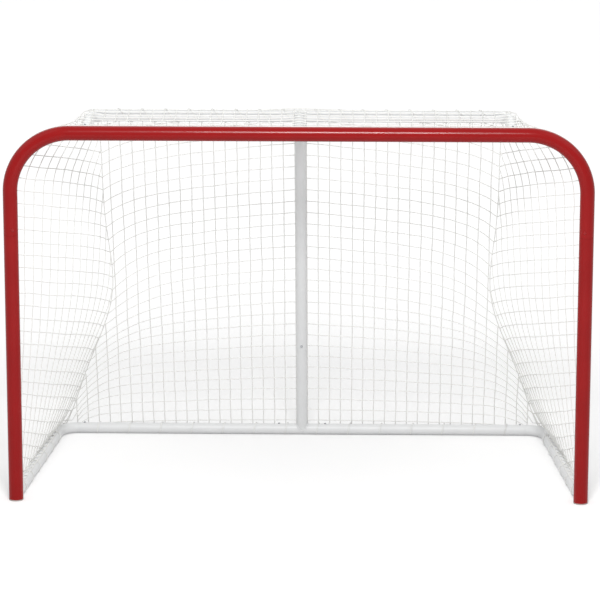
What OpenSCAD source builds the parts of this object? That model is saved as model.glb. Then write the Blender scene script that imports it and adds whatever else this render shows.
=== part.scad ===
// Ice hockey goal: a red front frame, a white base, strut and top shelf, and a laced net.
// X runs to the goal's right as a shooter sees it, +Y runs into the goal and Z is up.
// The origin is on the ice, under the middle of the whole goal.

/* [Goal mouth] */
// Clear width between the posts
mouth_w = 1828.8; // [1500:0.1:2000]
// Clear height under the crossbar
mouth_h = 1219.2; // [1000:0.1:1400]
// Radius of the upper corners, on the tube's centreline
corner_r = 195; // [150:1:230]
// Height of the joint in each post
post_seam_z = 905; // [700:1:950]
// Distance of the crossbar's joint from the middle
crossbar_seam_x = 34; // [30:1:60]

/* [Front tube] */
// Outside diameter of the red tube
front_d = 48.3; // [45:0.1:55]
// Wall of the red tube
front_wall = 2; // [1.8:0.1:2.5]

/* [Brace tube] */
// Outside diameter of the white tube
brace_d = 38.1; // [36:0.1:42.4]
// Wall of the white tube
brace_wall = 1.6; // [1.4:0.1:2]

/* [Base] */
// Depth of the base, from the posts' axis to the rear bar's axis
base_depth = 790; // [650:1:1000]
// Width of the rear corners, between the axes of the rails
base_rear_w = 1712; // [1500:1:1800]
// Radius of the rear corners, on the tube's centreline
base_corner_r = 70; // [60:1:90]
// Half the length of the tee in the rear bar
tee_half = 102; // [100:1:150]
// Length of the strut's lower piece, from the rear bar's axis
stem_len = 345; // [200:1:600]

/* [Top shelf] */
// Depth of the shelf, from the crossbar's axis to the rear bar's axis
shelf_depth = 300; // [250:1:450]
// Width between the axes of the shelf's arms
shelf_w = 1390; // [1200:1:1400]
// Radius of the shelf's rear corners, on the tube's centreline
shelf_corner_r = 60; // [50:1:90]
// Radius of the bend at the top of the strut, on its centreline
strut_bend_r = 70; // [60:1:90]
// Level length of the strut between that bend and the axis of the shelf's rear bar
strut_back = 20; // [19:1:24]

/* [Tube joints] */
// Length of the narrowed end that slides into the next tube
spigot_len = 75; // [72:1:90]
// Wall of a narrowed end
spigot_wall = 1.6; // [1.2:0.1:2]
// Radial clearance of a narrowed end in its tube
spigot_clear = 0.15; // [0.1:0.05:0.3]
// Gap between two tube ends at a joint
seam_gap = 0.5; // [0.3:0.1:1]
// Length of the solid shoulder behind a narrowed end
shoulder_len = 8; // [6:1:8]
// Wall of the stub that carries a base rail
rail_stub_wall = 3; // [3:0.1:4]
// Length of the backing ring inside a welded bend
ring_len = 6; // [4:1:8]
// Width of the weld line round that ring
weld_line = 0.02; // [0.02:0.01:0.1]
// Gap between a tube that butts against another and its surface
butt_gap = 1.5; // [1:0.1:2.5]

/* [Snap buttons] */
// Diameter of a button
button_d = 8; // [6:0.5:9]
// Height of a button above its tube at rest
button_proud = 3; // [2:0.1:3.5]
// Radial clearance of a button in its holes
button_clear = 0.3; // [0.2:0.05:0.5]
// How far past the outer tube's wall a pressed button goes
button_release = 0.5; // [0.3:0.1:1]
// Diameter of the flange that keeps a button in
button_flange_d = 12; // [11:0.5:13]
// Thickness of that flange
button_flange_t = 1.2; // [1:0.1:1.5]
// Distance of a button from its tube joint
button_lead = 20; // [18:1:22]
// Angle by which the buttons in the posts face the goal mouth
button_turn = 18; // [0:1:60]
// Thickness of the spring strip behind a button
spring_t = 0.8; // [0.5:0.1:1]
// Width of the spring strip
spring_w = 9; // [7:0.5:9]
// Length of the spring's arms
spring_len = 40; // [35:1:42]
// Radius of a spring's fold
spring_fold_r = 4; // [3:0.5:5]
// How far a spring's lower arm runs on past its button
spring_tail = 4; // [2:0.5:6]
// How far a spring's upper arm is flat to each side of its button's middle
spring_seat = 5; // [4:0.5:6]

/* [Foot caps] */
// Thickness of a cap under its post
cap_t = 4; // [3:0.5:5]
// Height of the plug inside the post
cap_plug_h = 25; // [15:1:40]
// Wall of the plug
cap_plug_wall = 2; // [1.5:0.1:3]
// Radial clearance of the plug in the post
cap_clear = 0.2; // [0.1:0.05:0.3]

/* [Net] */
// Thickness of the net's panels
net_t = 2.5; // [2:0.1:3]
// Width of the strands between the gaps
strand_w = 5; // [4:0.5:8]
// Clearance of the net from what it lies on
net_clear = 0.3; // [0.2:0.05:0.5]
// Gaps across the rear net, an odd number so that no strand lies on the strut
rear_cols = 15; // [5:2:15]
// Gaps across the top net
top_cols = 14; // [4:1:16]
// Gaps from front to back in the top net
top_rows = 3; // [2:1:4]
// Gaps from front to back in a side net
side_cols = 6; // [3:1:7]
// Gaps up the rear net and a side net
net_rows = 11; // [8:1:12]
// How many of a side net's gaps go round the frame's corner
corner_rows = 4; // [3:1:5]
// How far the tight net pulls in between a corner of the base and the shelf's corner over it
corner_pull = 160; // [0:5:180]
// Height of the side nets' and rear net's lower edge above the ice
net_foot = 6; // [4:1:15]

/* [Lacing and clips] */
// Thickness of a lacing loop on its white tube
loop_t = 3; // [3:0.1:4]
// Width of a lacing loop along its tube
loop_w = 4; // [3:0.5:8]
// Thickness of a net clip on the back of a red tube
clip_t = 2; // [1.5:0.1:3]
// Width of a net clip along its tube
clip_w = 12; // [8:1:20]
// How far round its tube a net clip reaches, in degrees
clip_wrap = 200; // [190:5:240]
// Clearance of a lacing loop or a clip round its tube
loop_clear = 0.3; // [0.2:0.05:0.5]
// Net clips on each post
post_clip_count = 6; // [2:1:8]
// A bar has a loop or a clip at every one, second, third or fourth strand
lace_step = 2; // [1:1:4]

/* [Hidden] */
$fn = 48;

RED = "firebrick";
WHITE = "whitesmoke";
STEEL = "silver";
TWINE = "white";
RUBBER = "dimgray";

front_r = front_d / 2;
front_bore_r = front_r - front_wall;
brace_r = brace_d / 2;
brace_bore_r = brace_r - brace_wall;
half_w = (mouth_w + front_d) / 2;
bar_z = mouth_h + front_r;
rail_z = brace_r;
shelf_x = shelf_w / 2;
rear_x = base_rear_w / 2;

// The net lies outside the tubes, on the lacing loops and the clips.
net_off = brace_r + loop_clear + loop_t + net_clear;
front_net_off = front_r + loop_clear + clip_t + net_clear;
// The rear net slopes from the shelf's rear bar to the base's. Distances up it start at the base bar.
slope = atan((base_depth - shelf_depth) / (bar_z - rail_z));
net_low = (net_foot - rail_z - net_off * sin(slope)) / cos(slope);
net_high = (bar_z - rail_z + net_off - net_clear - (net_off + net_t) * sin(slope)) / cos(slope);

// The origin is in the middle of the goal's whole depth, from the post buttons to the rear net,
// to a hundredth of a millimetre.
tip_bevel = 1.5;
button_reach = (front_r + button_proud) * cos(button_turn) + (button_d / 2 - tip_bevel) * sin(button_turn);
front_reach = max(front_r, button_reach);
rear_reach = (net_off + net_t) * cos(slope) - net_low * sin(slope);
front_y = round(50 * (front_reach - base_depth - rear_reach)) / 100;
rear_y = front_y + base_depth;
shelf_y = front_y + shelf_depth;

// Directions in this file are unit vectors.
rail_turn = atan((half_w - rear_x) / base_depth);
rail_dir = [sin(rail_turn), cos(rail_turn), 0];
rail_len = base_depth / cos(rail_turn);
rail_bend_turn = 90 - rail_turn;
rail_tangent = base_corner_r * tan(rail_bend_turn / 2);
rear_seam_x = rear_x - rail_tangent;

// The strut is tangent to the bend that brings it level with the shelf.
bend_z = bar_z - strut_bend_r;
strut_rise = bend_z - rail_z;
strut_set = base_depth - shelf_depth - strut_back;
strut_span = norm([strut_set, strut_rise]);
strut_lean = atan(strut_set / strut_rise) - asin(strut_bend_r / strut_span);
strut_dir = [0, -sin(strut_lean), cos(strut_lean)];
strut_face = [0, -cos(strut_lean), -sin(strut_lean)];
strut_len = sqrt(strut_span * strut_span - strut_bend_r * strut_bend_r);

front_butt = front_r + butt_gap;
brace_butt = brace_r + butt_gap;

// Puts its children at p with their X along x and their Z along z.
module placed(p, x, z) {
    y = cross(z, x);
    multmatrix([
        [x[0], y[0], z[0], p[0]],
        [x[1], y[1], z[1], p[1]],
        [x[2], y[2], z[2], p[2]],
        [0, 0, 0, 1]
    ]) children();
}

// A straight tube up the Z axis.
module tube(r, bore, len) {
    difference() {
        cylinder(r = r, h = len);
        translate([0, 0, -1]) cylinder(r = bore, h = len + 2);
    }
}

// A bent tube round the Z axis, from the X axis through the angle.
module tube_bend(r, bore, bend_r, angle) {
    rotate_extrude(angle = angle) translate([bend_r, 0]) difference() {
        circle(r = r);
        circle(r = bore);
    }
}

// A tube's narrowed end: the shoulder inside the tube's last stretch, then the spigot.
// It starts at z = 0, the tube's end face, and the spigot points up.
module spigot(tube_bore) {
    spigot_r = tube_bore - spigot_clear;
    translate([0, 0, -shoulder_len]) tube(tube_bore + 0.5, spigot_r - spigot_wall, shoulder_len);
    tube(spigot_r, spigot_r - spigot_wall, spigot_len);
}

// A straight tube up the Z axis whose far end is welded to a bend, with a backing ring inside.
module tube_to_bend(r, bore, len) {
    tube(r, bore, len - weld_line);
    translate([0, 0, len - ring_len / 2]) tube(bore + 0.5, bore - 1, ring_len);
}

// A short tube welded on a tube's side, pointing up, for another tube to slide over.
// carrier_r and carrier_wall are the tube's that carries it; it runs along X.
module weld_stub(carrier_r, carrier_wall, reach) {
    spigot_r = brace_bore_r - spigot_clear;
    difference() {
        tube(spigot_r, spigot_r - spigot_wall, reach);
        rotate([0, 90, 0]) cylinder(r = carrier_r - carrier_wall / 2, h = 4 * carrier_r, center = true);
    }
}

// --- Snap buttons: where each one sits ---
// A site is [point on the tube's axis, direction to the narrowed end's mouth, way the button points,
// bore of the outer tube, its outer radius, wall of the narrowed end].
post_out = [sin(button_turn), -cos(button_turn), 0];
site_post = [
    [-half_w, front_y, post_seam_z + button_lead], [0, 0, 1], post_out,
    front_bore_r, front_r, spigot_wall
];
site_crossbar = [
    [crossbar_seam_x + button_lead, front_y, bar_z], [1, 0, 0], [0, 1, 0],
    front_bore_r, front_r, spigot_wall
];
site_rail = [
    [-half_w, front_y, rail_z] + rail_dir * (front_butt + button_lead), rail_dir, [0, 0, 1],
    brace_bore_r, brace_r, rail_stub_wall
];
site_rear = [
    [-rear_seam_x + button_lead, rear_y, rail_z], [1, 0, 0], [0, 0, 1],
    brace_bore_r, brace_r, spigot_wall
];
site_tee = [
    [-tee_half + button_lead, rear_y, rail_z], [1, 0, 0], [0, 0, 1],
    brace_bore_r, brace_r, spigot_wall
];
site_strut = [
    [0, rear_y, rail_z] + strut_dir * (stem_len + button_lead), strut_dir, strut_face,
    brace_bore_r, brace_r, spigot_wall
];
site_head = [
    [0, front_y + front_butt + button_lead, bar_z], [0, 1, 0], [0, 0, -1],
    brace_bore_r, brace_r, spigot_wall
];
site_arm = [
    [-shelf_x, front_y + front_butt + button_lead, bar_z], [0, 1, 0], [0, 0, 1],
    brace_bore_r, brace_r, spigot_wall
];
site_shelf = [
    [-brace_butt - button_lead, shelf_y, bar_z], [-1, 0, 0], [0, 0, -1],
    brace_bore_r, brace_r, spigot_wall
];

function spigot_bore(site) = site[3] - spigot_clear - site[5];
// The flange meets the round wall of the narrowed end along its two edges.
function flange_top(site) = sqrt(pow(spigot_bore(site), 2) - pow(button_flange_d / 2, 2)) - 0.3;
function button_travel(site) = site[4] + button_proud - site[3] + button_release;

module at(site) {
    placed(site[0], site[1], site[2]) children();
}

module button_hole(site) {
    at(site) cylinder(r = button_d / 2 + button_clear, h = 2 * site[4]);
}

module snap_button(site) {
    tip_r = button_d / 2;
    tip_z = site[4] + button_proud;
    base_z = flange_top(site) - button_flange_t;
    at(site) rotate_extrude() polygon([
        [0, base_z],
        [button_flange_d / 2, base_z],
        [button_flange_d / 2, base_z + button_flange_t],
        [tip_r, base_z + button_flange_t],
        [tip_r, tip_z - tip_bevel],
        [tip_r - tip_bevel, tip_z],
        [0, tip_z]
    ]);
}

// A V-shaped strip: one arm under the button's flange, the other on the far wall.
module snap_spring(site) {
    upper = flange_top(site) - button_flange_t - net_clear;
    lower = -sqrt(pow(spigot_bore(site), 2) - pow(spring_w / 2, 2)) + net_clear;
    fold_z = lower + spring_fold_r;
    at(site) rotate([90, 0, 0]) linear_extrude(spring_w, center = true) {
        translate([-spring_tail, lower]) square([spring_len + spring_tail, spring_t]);
        difference() {
            translate([spring_len, fold_z]) circle(r = spring_fold_r);
            translate([spring_len, fold_z]) circle(r = spring_fold_r - spring_t);
            translate([spring_len - 2 * spring_fold_r, fold_z - 2 * spring_fold_r])
                square([2 * spring_fold_r, 4 * spring_fold_r]);
        }
        polygon([
            [spring_len, fold_z + spring_fold_r],
            [spring_len, fold_z + spring_fold_r - spring_t],
            [spring_seat, upper - spring_t],
            [-spring_seat, upper - spring_t],
            [-spring_seat, upper],
            [spring_seat, upper]
        ]);
    }
}

// --- Front frame ---

// The lower half of the left post, with the stub that carries the base rail.
module post_tube() {
    stub_r = brace_bore_r - spigot_clear;
    difference() {
        union() {
            translate([-half_w, front_y, cap_t])
                tube(front_r, front_bore_r, post_seam_z - seam_gap / 2 - cap_t);
            translate([-half_w, front_y, post_seam_z - seam_gap / 2]) spigot(front_bore_r);
            placed([-half_w, front_y, rail_z], [0, 0, 1], rail_dir) difference() {
                tube(stub_r, stub_r - rail_stub_wall, front_butt + spigot_len);
                rotate([0, 90, 0]) cylinder(r = front_r - front_wall / 2, h = 4 * front_r, center = true);
                translate([-rail_z - 1, -front_r, 0])
                    cube([cap_t + 1 + butt_gap / 3, 2 * front_r, 2 * spigot_len]);
            }
        }
        button_hole(site_post);
        button_hole(site_rail);
    }
}

// An upper corner: the top of a post, the bend and its share of the crossbar.
module corner_tube(run) {
    leg = bar_z - corner_r - post_seam_z - seam_gap / 2;
    translate([-half_w, front_y, post_seam_z + seam_gap / 2]) tube(front_r, front_bore_r, leg);
    translate([-half_w + corner_r, front_y, bar_z - corner_r]) rotate([90, 0, 0]) rotate([0, 0, 90])
        tube_bend(front_r, front_bore_r, corner_r, 90);
    translate([-half_w + corner_r, front_y, bar_z]) rotate([0, 90, 0]) tube(front_r, front_bore_r, run);
    placed([-shelf_x, front_y, bar_z], [1, 0, 0], [0, 1, 0])
        weld_stub(front_r, front_wall, front_butt + spigot_len);
}

module left_post() {
    color(RED) post_tube();
}

module right_post() {
    color(RED) mirror([1, 0, 0]) post_tube();
}

module left_corner() {
    run = half_w - corner_r + crossbar_seam_x - seam_gap / 2;
    color(RED) difference() {
        union() {
            corner_tube(run);
            translate([crossbar_seam_x - seam_gap / 2, front_y, bar_z]) rotate([0, 90, 0])
                spigot(front_bore_r);
            placed([0, front_y, bar_z], [1, 0, 0], [0, 1, 0])
                weld_stub(front_r, front_wall, front_butt + spigot_len);
        }
        button_hole(site_post);
        button_hole(site_crossbar);
        button_hole(site_arm);
        button_hole(site_head);
    }
}

module right_corner() {
    run = half_w - corner_r - crossbar_seam_x - seam_gap / 2;
    color(RED) difference() {
        mirror([1, 0, 0]) corner_tube(run);
        mirror([1, 0, 0]) button_hole(site_post);
        mirror([1, 0, 0]) button_hole(site_arm);
        button_hole(site_crossbar);
    }
}

module foot_cap() {
    plug_r = front_bore_r - cap_clear;
    translate([-half_w, front_y, 0]) {
        cylinder(r = front_r, h = cap_t);
        translate([0, 0, cap_t]) tube(plug_r, plug_r - cap_plug_wall, cap_plug_h);
    }
}

module left_foot_cap() {
    color(RUBBER) foot_cap();
}

module right_foot_cap() {
    color(RUBBER) mirror([1, 0, 0]) foot_cap();
}

// --- Base ---

// A side rail with its rear corner and the narrowed end that enters the rear bar.
module rail_tube() {
    difference() {
        union() {
            placed([-half_w, front_y, rail_z] + rail_dir * front_butt, [0, 0, 1], rail_dir)
                tube_to_bend(brace_r, brace_bore_r, rail_len - rail_tangent - front_butt);
            translate([-rear_seam_x, rear_y - base_corner_r, rail_z]) rotate([0, 0, 90])
                tube_bend(brace_r, brace_bore_r, base_corner_r, rail_bend_turn);
            translate([-rear_seam_x, rear_y, rail_z]) rotate([0, 90, 0]) spigot(brace_bore_r);
        }
        button_hole(site_rail);
        button_hole(site_rear);
    }
}

// Half of the rear bar, with the narrowed end that enters the tee.
module rear_tube() {
    difference() {
        union() {
            translate([-rear_seam_x + seam_gap, rear_y, rail_z]) rotate([0, 90, 0])
                tube(brace_r, brace_bore_r, rear_seam_x - tee_half - 1.5 * seam_gap);
            translate([-tee_half - seam_gap / 2, rear_y, rail_z]) rotate([0, 90, 0]) spigot(brace_bore_r);
        }
        button_hole(site_rear);
        button_hole(site_tee);
    }
}

module left_base_rail() {
    color(WHITE) rail_tube();
}

module right_base_rail() {
    color(WHITE) mirror([1, 0, 0]) rail_tube();
}

module left_rear_bar() {
    color(WHITE) rear_tube();
}

module right_rear_bar() {
    color(WHITE) mirror([1, 0, 0]) rear_tube();
}

// The tee in the rear bar, with the welded lower piece of the strut.
module base_tee() {
    color(WHITE) difference() {
        union() {
            translate([-tee_half + seam_gap / 2, rear_y, rail_z]) rotate([0, 90, 0])
                tube(brace_r, brace_bore_r, 2 * tee_half - seam_gap);
            placed([0, rear_y, rail_z], [1, 0, 0], strut_dir) {
                difference() {
                    tube(brace_r, brace_bore_r, stem_len - seam_gap / 2);
                    rotate([0, 90, 0])
                        cylinder(r = brace_r - brace_wall / 2, h = 4 * brace_r, center = true);
                }
                translate([0, 0, stem_len - seam_gap / 2]) spigot(brace_bore_r);
            }
        }
        button_hole(site_tee);
        mirror([1, 0, 0]) button_hole(site_tee);
        button_hole(site_strut);
    }
}

// The strut above the tee: it bends level at the shelf's rear bar and runs on to the crossbar.
module upper_strut() {
    head = shelf_depth + strut_back - front_butt;
    color(WHITE) difference() {
        union() {
            placed([0, rear_y, rail_z] + strut_dir * (stem_len + seam_gap / 2), [1, 0, 0], strut_dir)
                tube_to_bend(brace_r, brace_bore_r, strut_len - stem_len - seam_gap / 2);
            placed([0, shelf_y + strut_back, bend_z], [0, 0, 1], [-1, 0, 0])
                tube_bend(brace_r, brace_bore_r, strut_bend_r, 90 - strut_lean);
            placed([0, front_y + front_butt, bar_z], [1, 0, 0], [0, 1, 0]) tube(brace_r, brace_bore_r, head);
            for (way = [-1, 1]) placed([0, shelf_y, bar_z], [0, 1, 0], [way, 0, 0])
                weld_stub(brace_r, brace_wall, brace_butt + spigot_len);
        }
        button_hole(site_strut);
        button_hole(site_head);
        button_hole(site_shelf);
        mirror([1, 0, 0]) button_hole(site_shelf);
    }
}

// Half of the shelf: an arm from the crossbar, the rear corner and half of the rear bar.
module shelf_tube() {
    arm = shelf_depth - shelf_corner_r - front_butt;
    bar = shelf_x - shelf_corner_r - brace_butt;
    difference() {
        union() {
            placed([-shelf_x, front_y + front_butt, bar_z], [1, 0, 0], [0, 1, 0])
                tube_to_bend(brace_r, brace_bore_r, arm);
            translate([-shelf_x + shelf_corner_r, shelf_y - shelf_corner_r, bar_z]) rotate([0, 0, 90])
                tube_bend(brace_r, brace_bore_r, shelf_corner_r, 90);
            placed([-brace_butt, shelf_y, bar_z], [0, 0, 1], [-1, 0, 0])
                tube_to_bend(brace_r, brace_bore_r, bar);
        }
        button_hole(site_arm);
        button_hole(site_shelf);
    }
}

module left_shelf_bar() {
    color(WHITE) shelf_tube();
}

module right_shelf_bar() {
    color(WHITE) mirror([1, 0, 0]) shelf_tube();
}

// --- Snap buttons and their springs ---

module left_post_button() {
    color(RED) snap_button(site_post);
}

module right_post_button() {
    color(RED) mirror([1, 0, 0]) snap_button(site_post);
}

module crossbar_button() {
    color(RED) snap_button(site_crossbar);
}

module left_rail_button() {
    color(STEEL) snap_button(site_rail);
}

module right_rail_button() {
    color(STEEL) mirror([1, 0, 0]) snap_button(site_rail);
}

module left_rear_button() {
    color(STEEL) snap_button(site_rear);
}

module right_rear_button() {
    color(STEEL) mirror([1, 0, 0]) snap_button(site_rear);
}

module left_tee_button() {
    color(STEEL) snap_button(site_tee);
}

module right_tee_button() {
    color(STEEL) mirror([1, 0, 0]) snap_button(site_tee);
}

module strut_button() {
    color(STEEL) snap_button(site_strut);
}

module strut_head_button() {
    color(STEEL) snap_button(site_head);
}

module left_arm_button() {
    color(STEEL) snap_button(site_arm);
}

module right_arm_button() {
    color(STEEL) mirror([1, 0, 0]) snap_button(site_arm);
}

module left_shelf_button() {
    color(STEEL) snap_button(site_shelf);
}

module right_shelf_button() {
    color(STEEL) mirror([1, 0, 0]) snap_button(site_shelf);
}

// Every spring, each a separate strip inside its tube joint.
module snap_springs() {
    color(STEEL) {
        for (site = [site_post, site_rail, site_rear, site_tee, site_arm, site_shelf]) {
            snap_spring(site);
            mirror([1, 0, 0]) snap_spring(site);
        }
        for (site = [site_crossbar, site_strut, site_head]) snap_spring(site);
    }
}

// --- Net ---

// A sheet of square gaps with straight strands between them. at_uv gives a point for u and v from
// 0 to 1, and out is the way the sheet's thickness goes, on the side that u cross v points to.
module lattice(at_uv, out, cols, rows) {
    across = norm(at_uv(1, 0.5) - at_uv(0, 0.5));
    up = norm(at_uv(0.5, 1) - at_uv(0.5, 0));
    du = strand_w / 2 / across;
    dv = strand_w / 2 / up;
    corners = [[du, dv], [-du, dv], [-du, -dv], [du, -dv]];
    knots = [for (i = [0:cols], j = [0:rows]) at_uv(i / cols, j / rows)];
    holes = [
        for (i = [0:cols - 1], j = [0:rows - 1], k = [0:3])
            at_uv(
                (i + (k == 1 || k == 2 ? 1 : 0)) / cols + corners[k][0],
                (j + (k > 1 ? 1 : 0)) / rows + corners[k][1]
            )
    ];
    inner = concat(knots, holes);
    outer = [for (p = inner) p + out * net_t];
    n = len(inner);
    function knot(i, j) = i * (rows + 1) + j;
    function hole(i, j, k) = (cols + 1) * (rows + 1) + 4 * (i * rows + j) + k % 4;
    // The four strips of a gap's frame, each as [knot, knot, hole corner, hole corner].
    strips = [
        for (i = [0:cols - 1], j = [0:rows - 1]) each [
            [knot(i, j), knot(i + 1, j), hole(i, j, 1), hole(i, j, 0)],
            [knot(i + 1, j), knot(i + 1, j + 1), hole(i, j, 2), hole(i, j, 1)],
            [knot(i + 1, j + 1), knot(i, j + 1), hole(i, j, 3), hole(i, j, 2)],
            [knot(i, j + 1), knot(i, j), hole(i, j, 0), hole(i, j, 3)]
        ]
    ];
    // Edges of the gaps and of the sheet, each as [from, to] in the outer face.
    rims = concat(
        [for (q = strips) [q[2], q[3]]],
        [for (i = [0:cols - 1]) each [[knot(i, 0), knot(i + 1, 0)], [knot(i + 1, rows), knot(i, rows)]]],
        [for (j = [0:rows - 1]) each [[knot(cols, j), knot(cols, j + 1)], [knot(0, j + 1), knot(0, j)]]]
    );
    faces = concat(
        [for (q = strips) each [[q[0], q[1], q[2]], [q[0], q[2], q[3]]]],
        [for (q = strips) each [[q[2] + n, q[1] + n, q[0] + n], [q[3] + n, q[2] + n, q[0] + n]]],
        [for (e = rims) each [[e[0] + n, e[1] + n, e[1]], [e[0] + n, e[1], e[0]]]]
    );
    polyhedron(points = concat(inner, outer), faces = faces);
}

rear_out = [0, cos(slope), sin(slope)];
side_out = [-cos(30), 0, sin(30)];
side_lean = atan((rear_x - shelf_x) / (bar_z - net_foot));
side_off = net_off / cos(rail_turn) / cos(side_lean) + rail_z * tan(side_lean);
net_front_y = front_y + sqrt(pow(front_net_off, 2) - pow(net_off, 2));

// The strut stands out of the rear net's plane, and the net goes round it.
strut_stray = tan(slope - strut_lean);
strut_top = strut_len * cos(slope - strut_lean);

// The net is tight, so it pulls in along its rear corners. It stays straight beside the tubes,
// up to the first strand over the base and from the last strand under the shelf.
function strand_pull(row) =
    let (t = (row - 1) / (net_rows - 2))
    t <= 0 || t >= 1 ? 0 : corner_pull * pow(4 * t * (1 - t), 0.6);
function pull(v) =
    let (row = floor(v * net_rows))
    let (share = v * net_rows - row)
    (1 - share) * strand_pull(row) + share * strand_pull(row + 1);

function rear_half(v) = (1 - v) * rear_x + v * shelf_x - pull(v) + side_off - net_clear;
function bulge(s) = s < 0 ? 0
    : s < strut_top ? s * strut_stray
    : strut_top * strut_stray * sqrt(1 - pow((s - strut_top) / (net_high - strut_top), 2));
function rear_point(s, off) = [0, rear_y - s * sin(slope), rail_z + s * cos(slope)] + rear_out * off;
// The net runs straight from each side to the strut, and level across it.
function rear_uv(u, v) =
    let (s = (1 - v) * net_low + v * net_high)
    let (w = min(1, (1 - abs(2 * u - 1)) * rear_cols / (rear_cols - 1)))
    rear_point(s, net_off + w * bulge(s)) + [rear_half(v) * (1 - 2 * u), 0, 0];

// The side net's front edge goes up the post and round the corner, where its straight strands
// stand off the bend so that they clear it between the knots.
leg_len = bar_z - corner_r - net_foot;
leg_share = 1 - corner_rows / net_rows;
corner_lift = (corner_r + net_off) * (1 / cos(45 / corner_rows) - 1) / sin(180 / corner_rows);
function front_edge(v) =
    let (a = 90 * max(0, (v - leg_share) / (1 - leg_share)))
    let (edge_r = corner_r + net_off + max(0, corner_lift * sin(2 * a)))
    [
        -half_w + corner_r - edge_r * cos(a),
        net_front_y,
        a > 0 ? bar_z - corner_r + edge_r * sin(a) : net_foot + leg_len * v / leg_share
    ];
function rear_edge(v) =
    rear_point((1 - v) * net_low + v * net_high, net_off) - [rear_half(v) + net_clear, 0, 0];
function side_uv(u, v) = u * front_edge(v) + (1 - u) * rear_edge(v);

top_rear_y = rear_point(net_high, net_off + net_t)[1];
function top_half(v) = (1 - v) * (half_w - corner_r) + v * (shelf_x + side_off) - net_clear;
function top_uv(u, v) = [
    top_half(v) * (2 * u - 1),
    (1 - v) * net_front_y + v * top_rear_y,
    bar_z + net_off
];

module rear_net() {
    color(TWINE) lattice(function (u, v) rear_uv(u, v), rear_out, rear_cols, net_rows);
}

module top_net() {
    color(TWINE) lattice(function (u, v) top_uv(u, v), [0, 0, 1], top_cols, top_rows);
}

module left_side_net() {
    color(TWINE) lattice(function (u, v) side_uv(u, v), side_out, side_cols, net_rows);
}

module right_side_net() {
    color(TWINE) mirror([1, 0, 0]) lattice(function (u, v) side_uv(u, v), side_out, side_cols, net_rows);
}

// --- Lacing and clips ---

// A flat loop of cord round a tube that runs along Z.
module loop(r) {
    translate([0, 0, -loop_w / 2]) tube(r + loop_clear + loop_t, r + loop_clear, loop_w);
}

// A springy clip that grips a tube along Z from behind and leaves its front clear.
module clip() {
    rotate([0, 0, 90 - clip_wrap / 2]) rotate_extrude(angle = clip_wrap)
        translate([front_r + loop_clear, -clip_w / 2]) square([clip_t, clip_w]);
}

// What lies under the base tubes stays clear of the ice.
module off_the_ice() {
    difference() {
        children();
        translate([-2 * half_w, -2 * base_depth, -2 * loop_t])
            cube([4 * half_w, 4 * base_depth, 2 * loop_t + 1]);
    }
}

module both_sides() {
    children();
    mirror([1, 0, 0]) children();
}

module post_clips() {
    low = 2 * rail_z;
    share = (post_seam_z - low) / post_clip_count;
    color(RED) both_sides() for (i = [0:post_clip_count - 1])
        translate([-half_w, front_y, low + (i + 0.5) * share]) clip();
}

// Puts its children at strands of the top net, on the bar at y.
module at_top_strands(y) {
    v = (y - net_front_y) / (top_rear_y - net_front_y);
    both_sides() for (i = [floor(top_cols / 2) + 1 : lace_step : top_cols - 1])
        translate([top_uv(i / top_cols, v)[0], y, bar_z]) rotate([0, 90, 0]) children();
}

module crossbar_clips() {
    color(RED) at_top_strands(front_y) clip();
}

module shelf_lacing() {
    color(TWINE) at_top_strands(shelf_y) loop(brace_r);
}

module rear_lacing() {
    v = -net_low / (net_high - net_low);
    color(TWINE) off_the_ice() both_sides() for (i = [lace_step : lace_step : (rear_cols - 1) / 2])
        translate([rear_uv(i / rear_cols, v)[0], rear_y, rail_z]) rotate([0, 90, 0]) loop(brace_r);
}

module rail_lacing() {
    color(TWINE) off_the_ice() both_sides() for (i = [1 : lace_step : side_cols - 1]) {
        strand = side_uv(i / side_cols, leg_share * (rail_z - net_foot) / leg_len);
        along = (strand[1] - front_y) / cos(rail_turn) - net_off * tan(rail_turn);
        translate([-half_w, front_y, rail_z] + rail_dir * along) rotate([-90, 0, -rail_turn]) loop(brace_r);
    }
}

left_post();
right_post();
left_corner();
right_corner();
left_foot_cap();
right_foot_cap();
left_base_rail();
right_base_rail();
left_rear_bar();
right_rear_bar();
base_tee();
upper_strut();
left_shelf_bar();
right_shelf_bar();
left_post_button();
right_post_button();
crossbar_button();
left_rail_button();
right_rail_button();
left_rear_button();
right_rear_button();
left_tee_button();
right_tee_button();
strut_button();
strut_head_button();
left_arm_button();
right_arm_button();
left_shelf_button();
right_shelf_button();
snap_springs();
rear_net();
top_net();
left_side_net();
right_side_net();
post_clips();
crossbar_clips();
shelf_lacing();
rear_lacing();
rail_lacing();
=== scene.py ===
import math

import bmesh
import bpy
import numpy as np
from mathutils import Matrix, Vector, noise


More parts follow.
